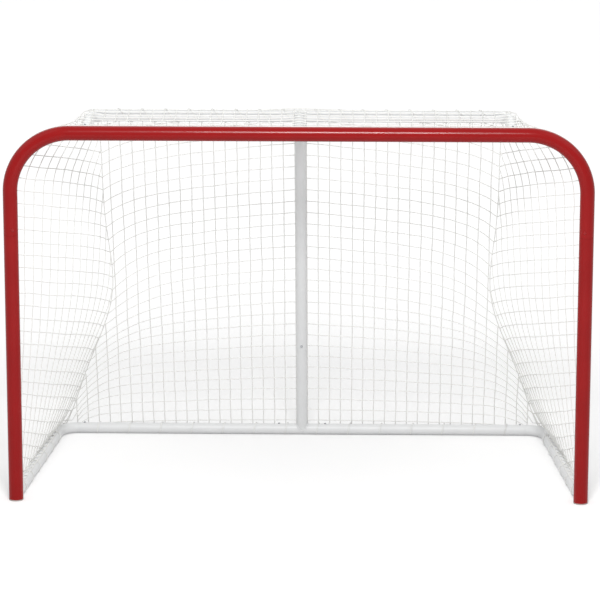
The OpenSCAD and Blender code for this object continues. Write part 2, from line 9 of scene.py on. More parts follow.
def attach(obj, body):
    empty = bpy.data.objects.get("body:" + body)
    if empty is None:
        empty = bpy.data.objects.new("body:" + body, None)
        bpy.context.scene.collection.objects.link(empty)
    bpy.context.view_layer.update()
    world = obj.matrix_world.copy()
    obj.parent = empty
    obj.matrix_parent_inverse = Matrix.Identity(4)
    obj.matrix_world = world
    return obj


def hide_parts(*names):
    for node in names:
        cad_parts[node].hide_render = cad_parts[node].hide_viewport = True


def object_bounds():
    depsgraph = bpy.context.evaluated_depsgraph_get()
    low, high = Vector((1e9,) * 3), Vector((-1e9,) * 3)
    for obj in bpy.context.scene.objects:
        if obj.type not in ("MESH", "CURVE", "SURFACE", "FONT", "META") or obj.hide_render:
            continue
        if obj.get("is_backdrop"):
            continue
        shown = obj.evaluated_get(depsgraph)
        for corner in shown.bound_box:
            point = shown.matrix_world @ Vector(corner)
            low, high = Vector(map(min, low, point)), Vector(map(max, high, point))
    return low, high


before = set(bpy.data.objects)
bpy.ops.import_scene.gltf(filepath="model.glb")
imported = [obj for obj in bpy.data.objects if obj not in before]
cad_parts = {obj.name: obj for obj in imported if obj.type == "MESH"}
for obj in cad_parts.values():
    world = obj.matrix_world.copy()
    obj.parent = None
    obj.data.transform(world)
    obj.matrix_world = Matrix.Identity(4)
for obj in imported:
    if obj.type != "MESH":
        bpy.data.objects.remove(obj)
cad_low, cad_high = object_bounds()

# --- Camera ---
# A long lens well in front of the mouth, a little to its right and above its top, as for a
# catalogue picture of the whole goal.
LENS_MM, SENSOR_MM = 200.3, 36
CAMERA_PLACE = Vector((0.1905, -11, 3.3659))
CAMERA_TURN, CAMERA_DIP, CAMERA_ROLL = 0.998, 14.162, 0.07


def placed(name, data):
    """A new object with this data, put in the scene at the origin."""
    thing = bpy.data.objects.new(name, data)
    bpy.context.scene.collection.objects.link(thing)
    return thing


camera = placed("camera", bpy.data.cameras.new("camera"))
bpy.context.scene.camera = camera
camera.data.sensor_width = SENSOR_MM
camera.data.lens = LENS_MM
camera.data.clip_end = 100
camera.matrix_world = (
    Matrix.Translation(CAMERA_PLACE)
    @ Matrix.Rotation(math.radians(CAMERA_TURN), 4, "Z")
    @ Matrix.Rotation(math.radians(90 - CAMERA_DIP), 4, "X")
    @ Matrix.Rotation(math.radians(CAMERA_ROLL), 4, "Z")
)

# --- Red front tubes ---
# The posts and the crossbar with its bent corners: steel tube of 48 mm, sprayed with red powder
# and baked. The powder flows to a gloss coat with a faint orange peel; its red drifts a little at
# random.
TUBE_RED = "960709"
TUBE_RED_DEEP = "860506"


def linear(colour):
    """An sRGB colour written in hex as the linear colour that a shader takes."""
    parts = [int(colour[i : i + 2], 16) / 255 for i in (0, 2, 4)]
    return [p / 12.92 if p <= 0.04045 else ((p + 0.055) / 1.055) ** 2.4 for p in parts] + [1]


def finish_called(name):
    """A new material with an empty node tree."""
    material = bpy.data.materials.new(name)
    material.use_nodes = True
    material.node_tree.nodes.clear()
    return material


def add(material, kind, inputs=None, **settings):
    """Adds a node. An input is a value, or another node's output as (node, output's name)."""
    tree = material.node_tree
    node = tree.nodes.new("ShaderNode" + kind)
    for name, value in settings.items():
        setattr(node, name, value)
    for name, value in (inputs or {}).items():
        if isinstance(value, tuple) and isinstance(value[0], bpy.types.Node):
            tree.links.new(value[0].outputs[value[1]], node.inputs[name])
        else:
            node.inputs[name].default_value = value
    return node


def coat(names, material):
    """Gives these tubes and caps that finish."""
    for name in names:
        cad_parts[name].material_slots[0].material = material


def coated_steel(name, colour, thin_colour, grain_mm, peel, roughness, shine):
    """Powder coat: its colour drifts a little, its surface has an orange peel of that grain."""
    material = finish_called(name)
    place = add(material, "TexCoord")
    drift = add(
        material,
        "TexNoise",
        {"Vector": (place, "Object"), "Scale": 1000 / 90, "Detail": 3.0, "Roughness": 0.55},
    )
    tone = add(
        material,
        "Mix",
        {0: (drift, "Fac"), 6: linear(colour), 7: linear(thin_colour)},
        data_type="RGBA",
    )
    peel_noise = add(
        material,
        "TexNoise",
        {"Vector": (place, "Object"), "Scale": 1000 / grain_mm, "Detail": 1.5, "Roughness": 0.4},
    )
    rub = add(
        material,
        "MapRange",
        {"Value": (drift, "Fac"), 1: 0.35, 2: 0.75, 3: roughness - 0.03, 4: roughness + 0.05},
    )
    bump = add(
        material,
        "Bump",
        {"Strength": peel, "Distance": 0.0004, "Height": (peel_noise, "Fac")},
    )
    skin = add(
        material,
        "BsdfPrincipled",
        {
            "Base Color": (tone, 2),
            "Roughness": (rub, 0),
            "IOR": 1.5,
            "Specular IOR Level": shine,
            "Normal": (bump, 0),
        },
    )
    add(material, "OutputMaterial", {"Surface": (skin, 0)})
    return material


red_coat = coated_steel(
    "red_powder_coat_gloss",
    TUBE_RED,
    TUBE_RED_DEEP,
    grain_mm=2.4,
    peel=0.02,
    roughness=0.2,
    shine=0.2,
)
coat(("left_post", "right_post", "left_corner", "right_corner"), red_coat)

# --- Foot caps ---
# A moulded rubber cap under each post keeps the cut tube off the ice. Its skin is matt, grey and
# slightly dusty, with the fine stipple of the mould.
foot_rubber = finish_called("moulded_grey_rubber")
rubber_place = add(foot_rubber, "TexCoord")
stipple = add(
    foot_rubber,
    "TexNoise",
    {"Vector": (rubber_place, "Object"), "Scale": 1000 / 1.2, "Detail": 2.0},
)
dust = add(
    foot_rubber,
    "TexNoise",
    {"Vector": (rubber_place, "Object"), "Scale": 1000 / 14, "Detail": 4.0},
)
dusty = add(
    foot_rubber,
    "Mix",
    {0: (dust, "Fac"), 6: linear("A09894"), 7: linear("B4ACA7")},
    data_type="RGBA",
)
rubber_bump = add(
    foot_rubber,
    "Bump",
    {"Strength": 0.25, "Distance": 0.0003, "Height": (stipple, "Fac")},
)
rubber_skin = add(
    foot_rubber,
    "BsdfPrincipled",
    {
        "Base Color": (dusty, 2),
        "Roughness": 0.72,
        "IOR": 1.52,
        "Normal": (rubber_bump, 0),
    },
)
add(foot_rubber, "OutputMaterial", {"Surface": (rubber_skin, 0)})
coat(("left_foot_cap", "right_foot_cap"), foot_rubber)

# --- White base, strut and shelf tubes ---
# Steel tube of 38 mm in white powder coat, a little more matt than the red, so that it takes a
# broad soft sheen along its length.
white_coat = coated_steel(
    "white_powder_coat_satin",
    "DEDFDF",
    "D7D8D9",
    grain_mm=2.0,
    peel=0.1,
    roughness=0.36,
    shine=0.3,
)
coat(("left_base_rail", "right_base_rail", "left_rear_bar", "right_rear_bar"), white_coat)
coat(("base_tee", "upper_strut", "left_shelf_bar", "right_shelf_bar"), white_coat)

# --- Snap buttons and springs ---
# Each tube joint locks with a pressed steel button on a V spring. The red frame's are painted
# with it; the white tubes' are bright zinc plate, fine grained and slightly uneven in tone.
button_red = coated_steel(
    "red_painted_button",
    "A0171A",
    "8E1315",
    grain_mm=1.6,
    peel=0.18,
    roughness=0.3,
    shine=0.3,
)


def plated_steel(name, colour, dull_colour, roughness):
    """Zinc plate or bare spring steel: metal with a fine uneven bloom and hairline scratches."""
    material = finish_called(name)
    place = add(material, "TexCoord")
    bloom = add(
        material,
        "TexNoise",
        {"Vector": (place, "Object"), "Scale": 1000 / 5, "Detail": 5.0},
    )
    tone = add(
        material,
        "Mix",
        {0: (bloom, "Fac"), 6: linear(colour), 7: linear(dull_colour)},
        data_type="RGBA",
    )
    streak_place = add(
        material, "Mapping", {"Vector": (place, "Object"), "Scale": (2400, 2400, 160)}
    )
    streaks = add(material, "TexNoise", {"Vector": (streak_place, 0), "Scale": 1.0})
    bump = add(
        material,
        "Bump",
        {"Strength": 0.15, "Distance": 0.0001, "Height": (streaks, "Fac")},
    )
    sheen = add(
        material,
        "MapRange",
        {"Value": (bloom, "Fac"), 1: 0.3, 2: 0.7, 3: roughness - 0.06, 4: roughness + 0.08},
    )
    skin = add(
        material,
        "BsdfPrincipled",
        {
            "Base Color": (tone, 2),
            "Metallic": 1.0,
            "Roughness": (sheen, 0),
            "Normal": (bump, 0),
        },
    )
    add(material, "OutputMaterial", {"Surface": (skin, 0)})
    return material


zinc = plated_steel("bright_zinc_plate", "B4B6B9", "94979B", roughness=0.34)
spring_steel = plated_steel("blued_spring_steel", "6F7074", "55565A", roughness=0.42)
red_buttons = ("left_post_button", "right_post_button", "crossbar_button")
buttons = [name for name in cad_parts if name.endswith("_button")]
coat(red_buttons, button_red)
coat([name for name in buttons if name not in red_buttons], zinc)
coat(["snap_springs"], spring_steel)

# --- Weld bead ---
# The strut's foot is welded on the base's tee. The bead runs round the saddle where the two equal
# tubes cross, in small even ripples, and is powder coated with them.
WHITE_R = 0.01905
BEAD_R, BEAD_RISE, BEAD_SET = 0.0022, 0.0006, 0.0008
RIPPLES, RIPPLE = 18, 0.0003
FRONT_Y, REAR_Y, SHELF_Y = -0.39767, 0.39233, -0.09767
RAIL_Z, BAR_Z = WHITE_R, 1.24335
STRUT_BEND_R, STRUT_BACK = 0.07, 0.02
strut_rise = BAR_Z - STRUT_BEND_R - RAIL_Z
strut_set = REAR_Y - SHELF_Y - STRUT_BACK
strut_span = math.hypot(strut_set, strut_rise)
strut_len = math.sqrt(strut_span**2 - STRUT_BEND_R**2)
strut_lean = math.atan2(strut_set, strut_rise) - math.asin(STRUT_BEND_R / strut_span)
strut_up = Vector((0, -math.sin(strut_lean), math.cos(strut_lean)))
strut_out = Vector((0, math.cos(strut_lean), math.sin(strut_lean)))


def strands(name, lines, radius, sides=6, closed=False):
    """One mesh of round strands along these lines of points, with U in metres along each."""
    curve = bpy.data.curves.new(name, "CURVE")
    curve.dimensions = "3D"
    curve.bevel_depth = radius
    curve.bevel_resolution = (sides - 4) // 2
    curve.use_fill_caps = not closed
    lengths = []
    for line in lines:
        spline = curve.splines.new("POLY")
        spline.points.add(len(line) - 1)
        spline.points.foreach_set("co", [x for p in line for x in (*p, 1)])
        spline.use_cyclic_u = closed
        lengths += [sum((b - a).length for a, b in zip(line, line[1:]))] * len(line)
    drawn = placed(name, curve)
    graph = bpy.context.evaluated_depsgraph_get()
    mesh = bpy.data.meshes.new_from_object(drawn.evaluated_get(graph))
    bpy.data.objects.remove(drawn)
    bpy.data.curves.remove(curve)
    mesh.name = name
    corner_vertex = np.zeros(len(mesh.loops), int)
    mesh.loops.foreach_get("vertex_index", corner_vertex)
    uv = np.zeros(len(mesh.loops) * 2)
    mesh.uv_layers[0].data.foreach_get("uv", uv)
    along = np.repeat(lengths, sides)
    along = np.concatenate([along, np.full(max(0, len(mesh.vertices) - len(along)), 1.0)])
    uv[0::2] *= along[corner_vertex]
    mesh.uv_layers[0].data.foreach_set("uv", uv)
    return placed(name, mesh)


def saddle(centre, along, out, way):
    """The closed line where a tube along `way` meets an equal tube's upper or lower side."""
    line = []
    for i in range(72):
        a = 2 * math.pi * i / 72
        reach = WHITE_R + BEAD_RISE + RIPPLE * math.sin(RIPPLES * a)
        x, n = reach * math.cos(a), reach * math.sin(a)
        line.append(centre + along * x + out * n + way * (abs(x) + BEAD_SET))
    return line


tee = Vector((0, REAR_Y, RAIL_Z))
foot_bead = saddle(tee, Vector((1, 0, 0)), strut_out, strut_up)
weld_beads = strands("weld_beads", [foot_bead], BEAD_R, closed=True)
weld_beads.data.materials.append(white_coat)
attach(weld_beads, "frame")

# --- Net ---
# One knotted net of white braided twine, 3.4 mm thick, hung on the square with gaps of about
# 40 mm. It is pulled tight over the tubes, so it draws in along the two rear corners. It has a
# thicker cord along its front and foot and is made here as four panels that meet at the corners.
TWINE_R = 0.0017
EDGE_R = 0.0022
KNOT_R = 0.0027
RED_R, HALF_W, BEND_R = 0.02415, 0.93855, 0.195
REAR_X, BASE_BEND_R = 0.856, 0.07
SHELF_X, SHELF_BEND_R = 0.695, 0.06
OFF = WHITE_R + 0.0019
FRONT_OFF = RED_R + 0.0027
FRONT_ROWS = 32
BACK_MESH = 0.039
SIDE_MESH = 0.0432
slope = math.atan2(REAR_Y - SHELF_Y, BAR_Z - RAIL_Z)
rear_reach = math.hypot(REAR_Y - SHELF_Y, BAR_Z - RAIL_Z)
net_front_y = FRONT_Y + math.sqrt(FRONT_OFF**2 - OFF**2)
NET_LOW = -0.012
POST_FOOT_Z, POST_GAP, RIDGE_HALF = 0.016, 0.014, 0.014


def along_bends(steps, share):
    """A point at that share of a flat path. Each step is (length, function of the way along)."""
    left = share * sum(length for length, _ in steps)
    for length, at in steps[:-1]:
        if left <= length:
            return at(left)
        left -= length
    return steps[-1][1](left)


# The net's run from the base to the shelf over a rear corner, as (y, z): up the flat slope, then
# round the shelf's bar. Over the strut it goes up the strut, round its bend and level.
turn_at_bar = math.pi / 2 - slope
edge_run = [
    (
        rear_reach - NET_LOW,
        lambda s: (
            REAR_Y - (s + NET_LOW) * math.sin(slope) + OFF * math.cos(slope),
            RAIL_Z + (s + NET_LOW) * math.cos(slope) + OFF * math.sin(slope),
        ),
    ),
    (
        OFF * turn_at_bar,
        lambda s: (
            SHELF_Y + OFF * math.cos(slope + s / OFF),
            BAR_Z + OFF * math.sin(slope + s / OFF),
        ),
    ),
]
strut_turn = math.pi / 2 - strut_lean
strut_bend_off = STRUT_BEND_R + OFF
ridge_run = [
    (
        strut_len - NET_LOW,
        lambda s: (
            REAR_Y - (s + NET_LOW) * math.sin(strut_lean) + OFF * math.cos(strut_lean),
            RAIL_Z + (s + NET_LOW) * math.cos(strut_lean) + OFF * math.sin(strut_lean),
        ),
    ),
    (
        strut_bend_off * strut_turn,
        lambda s: (
            SHELF_Y + STRUT_BACK + strut_bend_off * math.cos(strut_lean + s / strut_bend_off),
            BAR_Z - STRUT_BEND_R + strut_bend_off * math.sin(strut_lean + s / strut_bend_off),
        ),
    ),
    (STRUT_BACK, lambda s: (SHELF_Y + STRUT_BACK - s, BAR_Z + OFF)),
]
# The middles of the rear bends, and how far round each bend the rear corner of the net lies.
rail_turn = math.atan2(HALF_W - REAR_X, REAR_Y - FRONT_Y)
base_corner_turn = (math.pi / 2 - rail_turn) / 2
bend_start = BASE_BEND_R * math.tan(base_corner_turn)
base_bend = Vector((-REAR_X + bend_start, REAR_Y - BASE_BEND_R))
shelf_bend = Vector((-SHELF_X + SHELF_BEND_R, SHELF_Y - SHELF_BEND_R))
base_corner_x = -base_bend.x + (BASE_BEND_R + OFF) * math.sin(base_corner_turn)
shelf_corner_x = -shelf_bend.x + (SHELF_BEND_R + OFF) * math.sin(math.pi / 4)

# How far the tight net draws each rear corner in, evenly and in a belly below the middle, and how
# quickly its panels come back to the tubes at their foot and top.
EVEN_PULL, BELLY_PULL, BELLY_V, BELLY_SPREAD = 0.07, 0.06, 0.43, 0.2
SIDE_PULL = 0.29
TUBE_FADE = 0.05


def clamped(v):
    """The nearest share from 0 to 1."""
    return min(1, max(0, v))


def corner_x(v):
    """Half of the rear panel's width at that share of its height."""
    even = EVEN_PULL * (4 * max(0, v * (1 - v))) ** 0.6
    belly = BELLY_PULL * math.exp(-(((v - BELLY_V) / BELLY_SPREAD) ** 2))
    return (1 - v) * base_corner_x + v * shelf_corner_x - even - belly


def drawn_in(x, bend_x, r):
    """How far a bend of that radius curves forward of the straight bar at x."""
    beyond = min(r, max(0, abs(x) - bend_x))
    return r - math.sqrt(r * r - beyond * beyond)


def rear_at(x, v):
    """A point of the rear panel."""
    half = corner_x(v)
    tent = 1 - clamped((abs(x) - RIDGE_HALF) / (half - RIDGE_HALF))
    edge, ridge = along_bends(edge_run, v), along_bends(ridge_run, v)
    y, z = (e + (r - e) * tent for e, r in zip(edge, ridge))
    y -= drawn_in(x, -base_bend.x, BASE_BEND_R + OFF) * math.exp(-v / TUBE_FADE)
    y -= drawn_in(x, -shelf_bend.x, SHELF_BEND_R + OFF) * math.exp((v - 1) / TUBE_FADE)
    return Vector((x, y, z))


def post_edge(v):
    """The left side panel's front edge: up behind the post and round the corner."""
    leg = BAR_Z - BEND_R - POST_FOOT_Z
    r = BEND_R + OFF
    s = v * (leg + r * math.pi / 2)
    if s < leg:
        return Vector((-HALF_W - OFF, net_front_y, POST_FOOT_Z + s))
    a = (s - leg) / r
    return Vector(
        (-HALF_W + BEND_R - r * math.cos(a), net_front_y, BAR_Z - BEND_R + r * math.sin(a))
    )


# The side panel's lower edge, along a base rail and half of its bend, and its upper edge, along a
# shelf arm and half of its bend, as (x, y).
rail_straight = (REAR_Y - FRONT_Y) / math.cos(rail_turn) - bend_start
rail_out = Vector((-math.cos(rail_turn), math.sin(rail_turn)))
rail_way = Vector((math.sin(rail_turn), math.cos(rail_turn)))
base_run = [
    (
        rail_straight - POST_GAP,
        lambda s: Vector((-HALF_W, FRONT_Y)) + rail_out * OFF + rail_way * (s + POST_GAP),
    ),
    (
        (BASE_BEND_R + OFF) * base_corner_turn,
        lambda s: base_bend
        + (BASE_BEND_R + OFF)
        * Vector(
            (
                -math.cos(rail_turn + s / (BASE_BEND_R + OFF)),
                math.sin(rail_turn + s / (BASE_BEND_R + OFF)),
            )
        ),
    ),
]
arm_end = Vector((-SHELF_X - OFF, shelf_bend.y))
arm_start = Vector((-HALF_W + BEND_R, net_front_y))
shelf_run = [
    (
        (arm_end - arm_start).length,
        lambda s: arm_start + (arm_end - arm_start).normalized() * s,
    ),
    (
        (SHELF_BEND_R + OFF) * math.pi / 4,
        lambda s: shelf_bend
        + (SHELF_BEND_R + OFF)
        * Vector((-math.cos(s / (SHELF_BEND_R + OFF)), math.sin(s / (SHELF_BEND_R + OFF)))),
    ),
]


def rear_corner(v):
    """The left rear corner at that share of its height."""
    return rear_at(-corner_x(v), v)


def side_at(w, v):
    """A point of the left side panel: w goes from the post back to the rear corner."""
    front, back = post_edge(v), rear_corner(v)
    p = front.lerp(back, w)
    p.x += SIDE_PULL * w * (1 - w) * (back.x - front.x) * min(1, 8 * v * (1 - v))
    for run, end, fade in (
        (base_run, 0, math.exp(-v / TUBE_FADE)),
        (shelf_run, 1, math.exp((v - 1) / TUBE_FADE)),
    ):
        flat = along_bends(run, w)
        straight = post_edge(end).lerp(rear_corner(end), w)
        p.x += (flat.x - straight.x) * fade
        p.y += (flat.y - straight.y) * fade
    return p


# Where the rows lie, as shares of the height: how far they fall toward the rear corner, with a
# dip close to it, and where one of them crosses the middle of the rear panel, with the step there.
ROW_LEAD, ROW_FALL = 0.85, 0.235
DIP, DIP_REACH = 0.07, 0.14
MIDDLE_ROW, MIDDLE_V, MIDDLE_STEP = 16, 0.485, 0.0328
# A row rises next to the corner by a high power and then gently by a square. Below LOW_V the gentle
# share gets smaller and the power higher, down to the second value of each at the foot.
LOW_V, LOW_LIFT = 0.4, 0.45
GENTLE, STEEP_POWER = (0.4, 0.1), (8, 24)


def between(ends, way):
    """The value that lies that share of the way from the first to the second."""
    return ends[0] + (ends[1] - ends[0]) * way


def row_height(row, w):
    """The share of the height at which a row of the side panel lies, w of the way back."""
    front = (row - ROW_LEAD) / FRONT_ROWS
    dip = DIP * front * (1 - front) * math.exp(-(1 - w) / DIP_REACH)
    return front - ROW_FALL * (1 - front) ** 1.5 * w - dip


def rear_row_height(row, x):
    """The same row on the rear panel: it rises from the corner, first steeply, then gently.
    The lowest rows start a little above the side panel's and run flatter."""
    corner, middle = row_height(row, 1), MIDDLE_V + MIDDLE_STEP * (row - MIDDLE_ROW)
    low = max(0, 1 - middle / LOW_V)
    gentle = between(GENTLE, low)
    corner += LOW_LIFT * low * (middle - corner)
    v = corner
    for _ in range(6):
        away = min(1, abs(x) / corner_x(clamped(v)))
        steep = 1 - away ** between(STEEP_POWER, low)
        v = corner + (middle - corner) * ((1 - gentle) * steep + gentle * (1 - away**2))
    return v


# The twine's small waves, as (turns in a metre, height). The seed keeps them the same every time.
WAVES = ((9, 0.0022), (31, 0.0009))
noise.seed_set(4)


def slack(p, hold):
    """Lets a point of the twine stray, in the same way for both strands at a knot."""
    stray = [noise.noise_vector(p * turns) * height for turns, height in WAVES]
    return p + (stray[0] + stray[1]) * hold


def with_halves(stops):
    """The stops and the middles between them."""
    fine = [stops[0]]
    for stop in stops[1:]:
        fine += [(fine[-1] + stop) / 2, stop]
    return fine


def unbroken(points):
    """Cuts a line of points at its gaps, which are None, into lines of two points or more."""
    lines = [[]]
    for p in points:
        if p is None:
            lines.append([])
        else:
            lines[-1].append(p)
    return [line for line in lines if len(line) > 1]


def last_share(holds, low=0.0):
    """The last share up to 1 where something holds that holds at the low one."""
    high = 1.0
    for _ in range(40):
        middle = (low + high) / 2
        low, high = (middle, high) if holds(middle) else (low, middle)
    return low


def solid(name, mesh):
    """An object made of a finished bmesh."""
    data = bpy.data.meshes.new(name)
    mesh.to_mesh(data)
    mesh.free()
    return placed(name, data)


def knots(name, places):
    """A small round knot at each place, joined in one mesh."""
    mesh = bmesh.new()
    for p in places:
        at = Matrix.Translation(p)
        bmesh.ops.create_icosphere(mesh, subdivisions=1, radius=KNOT_R, matrix=at)
    for face in mesh.faces:
        face.smooth = True
    return solid(name, mesh)


def panel(name, lines, crossings, edges, node):
    """Joins a panel's twine, knots and edge cords, and sets it on the frame in a node's place."""
    parts = [
        strands(name, lines, TWINE_R),
        knots(name + "_knots", crossings),
        *[strands(name + "_edge", [line], r) for line, r in edges],
    ]
    whole = bmesh.new()
    for part in parts:
        whole.from_mesh(part.data)
    whole.to_mesh(parts[0].data)
    whole.free()
    for part in parts[1:]:
        bpy.data.objects.remove(part)
    net = parts[0]
    net.data.materials.clear()
    net.data.materials.append(twine)
    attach(net, "frame")
    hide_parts(node)


def braid(name, colour, worn_colour, pitch_mm, depth):
    """Braided synthetic twine: slanted strands along the cord, a soft sheen and faint soiling."""
    material = finish_called(name)
    along = add(material, "UVMap")
    lay = add(material, "Mapping", {"Vector": (along, 0), "Scale": (1000 / pitch_mm, 3, 1)})
    slanted = add(material, "SeparateXYZ", {0: (lay, 0)})
    phase = add(material, "Math", {0: (slanted, 0), 1: (slanted, 1)}, operation="ADD")
    turn = add(material, "Math", {0: (phase, 0), 1: 2 * math.pi}, operation="MULTIPLY")
    plies = add(material, "Math", {0: (turn, 0)}, operation="SINE")
    place = add(material, "TexCoord")
    fibre = add(
        material,
        "TexNoise",
        {"Vector": (place, "Object"), "Scale": 1000 / 0.9, "Detail": 2.0},
    )
    height = add(
        material,
        "Math",
        {0: (plies, 0), 1: (fibre, "Fac")},
        operation="ADD",
    )
    soil = add(
        material,
        "TexNoise",
        {"Vector": (place, "Object"), "Scale": 1000 / 160, "Detail": 4.0},
    )
    tone = add(
        material,
        "Mix",
        {0: (soil, "Fac"), 6: linear(colour), 7: linear(worn_colour)},
        data_type="RGBA",
    )
    bump = add(
        material,
        "Bump",
        {"Strength": depth, "Distance": 0.0003, "Height": (height, 0)},
    )
    skin = add(
        material,
        "BsdfPrincipled",
        {
            "Base Color": (tone, 2),
            "Roughness": 0.82,
            "IOR": 1.53,
            "Sheen Weight": 0.25,
            "Sheen Roughness": 0.5,
            "Normal": (bump, 0),
        },
    )
    add(material, "OutputMaterial", {"Surface": (skin, 0)})
    return material


twine = braid("braided_polyester_twine", "F0F0ED", "E6E6E3", pitch_mm=3.2, depth=0.5)

# The rear panel: upright strands at an even spacing, which end where they meet a rear corner,
# and rows that rise from the corners.
upright_count = int(base_corner_x / BACK_MESH)
upright_xs = [(k + 0.5) * BACK_MESH for k in range(-upright_count - 1, upright_count + 1)]
rear_rows = range(2, FRONT_ROWS + 1)
EDGE_GAP = 0.004
REAR_HOLD, SIDE_HOLD, CORNER_HOLD = 14, 12, 10
STRUT_HOLD, STRUT_FREE = 0.02, 0.06


def rear_twine(x, v):
    """A point of the rear panel's twine. It is held at the foot, the top and the strut."""
    v = clamped(v)
    off_strut = (abs(x) - STRUT_HOLD) / STRUT_FREE
    hold = min(1, REAR_HOLD * v, REAR_HOLD * (1 - v), off_strut)
    return slack(rear_at(x, v), max(0, hold))


def row_stops(half):
    """Where a row of that half width meets the uprights and its ends, with the middles."""
    return with_halves([-half, *[x for x in upright_xs if abs(x) < half - EDGE_GAP], half])


rear_lines, rear_knots = [], []
for x in upright_xs[1:]:
    heights = sorted({0.0, 1.0, *[rear_row_height(row, x) for row in rear_rows]})
    heights = [v for v in heights if 0 <= v <= 1]
    rear_lines += unbroken(
        [rear_twine(x, v) if abs(x) < corner_x(v) else None for v in with_halves(heights)]
    )
    rear_knots += [rear_twine(x, v) for v in heights[1:-1] if abs(x) < corner_x(v)]
for row in rear_rows:
    row_points = []
    for x in row_stops(corner_x(clamped(row_height(row, 1)))):
        v = rear_row_height(row, x)
        row_points.append(rear_twine(x, v) if EDGE_GAP < v < 1 - EDGE_GAP else None)
    rear_lines += unbroken(row_points)
foot_line = [rear_at(x, 0) for x in np.linspace(-base_corner_x, base_corner_x, 91)]
panel("rear_net_twine", rear_lines, rear_knots, [(foot_line, EDGE_R)], "rear_net")

# The side panels: rows from the post to the rear corner, and uprights at an even distance behind
# the post, which end at the rear corner. The right one is the left one's mirror image.
MEET_LIMIT, ROW_END_GAP = 0.995, 0.01


def side_length(v):
    """How far the rear corner lies behind the post at that share of the height."""
    return (rear_corner(v) - post_edge(v)).length


def side_twine(w, v):
    """A point of the side panel's twine. It is held along all four edges."""
    v = clamped(v)
    from_foot_and_top = SIDE_HOLD * min(v, 1 - v)
    from_post_and_corner = CORNER_HOLD * min(w, 1 - w)
    return slack(side_at(w, v), min(1, from_foot_and_top, from_post_and_corner))


def upright_meets(count, row):
    """Where an upright crosses a row, as (w, v), or None if it ends before."""
    w = 0.5
    for _ in range(30):
        v = row_height(row, clamped(w))
        w = 0.5 * w + 0.5 * count * SIDE_MESH / side_length(clamped(v))
    v = row_height(row, clamped(w))
    return (w, v) if w < MEET_LIMIT and 0 < v < 1 else None


side_lines, side_knots = [], []
side_rows = range(1, FRONT_ROWS + 1)
side_uprights = range(1, int(side_length(0) / SIDE_MESH) + 1)
meets = {(k, row): upright_meets(k, row) for k in side_uprights for row in side_rows}
for row in side_rows:
    last = 1.0
    if row_height(row, 1) <= 0:
        last = last_share(lambda w: row_height(row, w) > 0)
    crossed = sorted(meet[0] for (_, r), meet in meets.items() if r == row and meet)
    stops = [w for w in [0.0, *crossed] if w < last - ROW_END_GAP] + [last]
    side_lines.append([side_twine(w, row_height(row, w)) for w in with_halves(stops)])
for k in side_uprights:
    behind_post = k * SIDE_MESH
    crossed = [meet for (upright, _), meet in meets.items() if upright == k and meet]
    crossed.sort(key=lambda meet: meet[1])
    if behind_post < side_length(1):
        end = (behind_post / side_length(1), 1.0)
    else:
        low = crossed[-1][1] if crossed else 0.0
        end = (1.0, last_share(lambda v: side_length(v) > behind_post, low))
    stops = [(clamped(behind_post / side_length(0)), 0.0), *crossed, end]
    side_lines.append([side_twine(w, v) for w, v in with_halves([np.array(p) for p in stops])])
    side_knots += [side_twine(w, v) for w, v in crossed]


def over_rail(s, angle):
    """A point of the net's edge where it lies on a base rail, s behind the post."""
    a = math.radians(angle)
    at = Vector((-HALF_W, FRONT_Y)) + rail_way * s + rail_out * (OFF * math.cos(a))
    return Vector((at.x, at.y, RAIL_Z + OFF * math.sin(a)))


# The uprights go on over the rail, each a little askew, under two lengthwise strands that stray.
WRAP_ANGLES, SKEW = range(-8, 113, 10), 0.0002
LENGTHWISE_ANGLES, STRAY = (60, 112), 7
RUN_START, RUN_END = 0.03, rail_straight - 0.02
for k in range(1, int(rail_straight / SIDE_MESH)):
    side_lines.append([over_rail(k * SIDE_MESH + SKEW * a, a) for a in WRAP_ANGLES])
for angle in LENGTHWISE_ANGLES:
    side_lines.append(
        [
            over_rail(s, angle + STRAY * noise.noise((i / 3, angle, 0)))
            for i, s in enumerate(np.linspace(RUN_START, RUN_END, 61))
        ]
    )
corner_line = [rear_corner(i / 120) for i in range(121)]
side_edges = [
    ([post_edge(i / 90) for i in range(91)], EDGE_R),
    ([side_at(i / 60, 0) for i in range(61)], EDGE_R),
    ([side_at(i / 30, 1) for i in range(31)], TWINE_R),
    (corner_line, TWINE_R),
]


def mirrored(lines):
    """The same lines on the goal's other side."""
    return [[Vector((-p.x, p.y, p.z)) for p in line] for line in lines]


panel("left_side_net_twine", side_lines, side_knots, side_edges, "left_side_net")
panel(
    "right_side_net_twine",
    mirrored(side_lines),
    mirrored([side_knots])[0],
    [(mirrored([line])[0], r) for line, r in side_edges],
    "right_side_net",
)

# The top panel: uprights go on forward over the shelf to the crossbar, with rows across them.
top_z = BAR_Z + OFF
TOP_MESH, TOP_ROWS = 0.0425, 6
TOP_HOLD, TOP_SIDE_HOLD, TOP_SIDE_GAP = 14, 12, 0.003
TOP_SAG, SAG_REACH = 0.006, 0.05


def top_half(y):
    """Half of the top panel's width at that depth."""
    if y <= arm_end.y:
        way = (y - net_front_y) / (arm_end.y - net_front_y)
        return -(arm_start.x + (arm_end.x - arm_start.x) * way)
    r = SHELF_BEND_R + OFF
    return -shelf_bend.x + math.sqrt(max(0, r * r - (y - shelf_bend.y) ** 2))


def top_twine(x, y):
    """A point of the top panel's twine. It sags a little between its edges and the strut."""
    from_bars = TOP_HOLD * min(y - net_front_y, SHELF_Y - y)
    from_sides = TOP_SIDE_HOLD * (top_half(y) - abs(x))
    hold = clamped(min(from_bars, from_sides))
    p = slack(Vector((x, y, top_z)), hold)
    p.z = top_z - TOP_SAG * hold * (1 - math.exp(-abs(x) / SAG_REACH))
    return p


